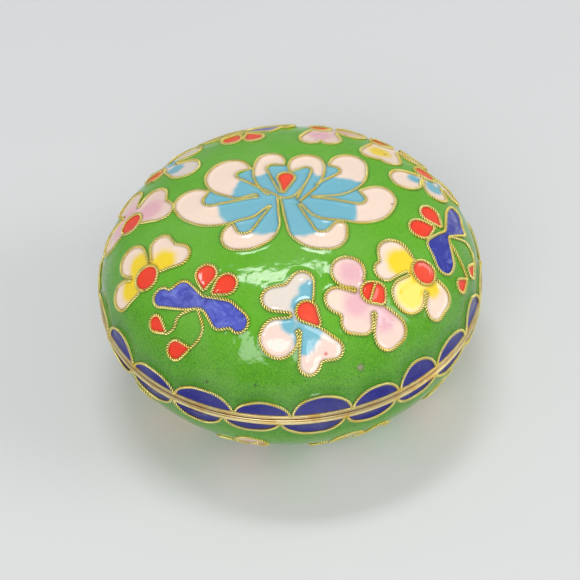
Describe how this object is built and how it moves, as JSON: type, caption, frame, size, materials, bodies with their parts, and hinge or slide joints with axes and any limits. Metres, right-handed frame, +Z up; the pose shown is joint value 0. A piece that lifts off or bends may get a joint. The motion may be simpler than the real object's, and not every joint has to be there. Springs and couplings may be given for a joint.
{
  "type": "cloisonne enamel box",
  "caption": "Round domed trinket box in enamelled metal, with raised wire flowers and butterflies, brass rims, a lift-off lid and a low foot ring.",
  "frame": {"origin": "centre of the underside, on the standing surface", "axes": "+Z up along the axis of the box; -Y towards the front, below the foot of the central flower on the lid"},
  "size_m": [0.0644, 0.0644, 0.0362],
  "materials": {
    "foot_brass": "worn satin gilt",
    "base_enamel": "glossy green enamel with cobalt blue scallops, fused gilt wires",
    "base_rim_brass": "polished gilt brass",
    "lid_rim_brass": "polished gilt brass",
    "lid_enamel": "glossy green enamel with many-coloured motifs, fused gilt wires"
  },
  "bodies": {
    "root": {"foot_ring": "foot_brass", "base": "base_enamel", "base_rim": "base_rim_brass", "lid_rim": "lid_rim_brass", "lid": "lid_enamel"}
  },
  "joints": []
}
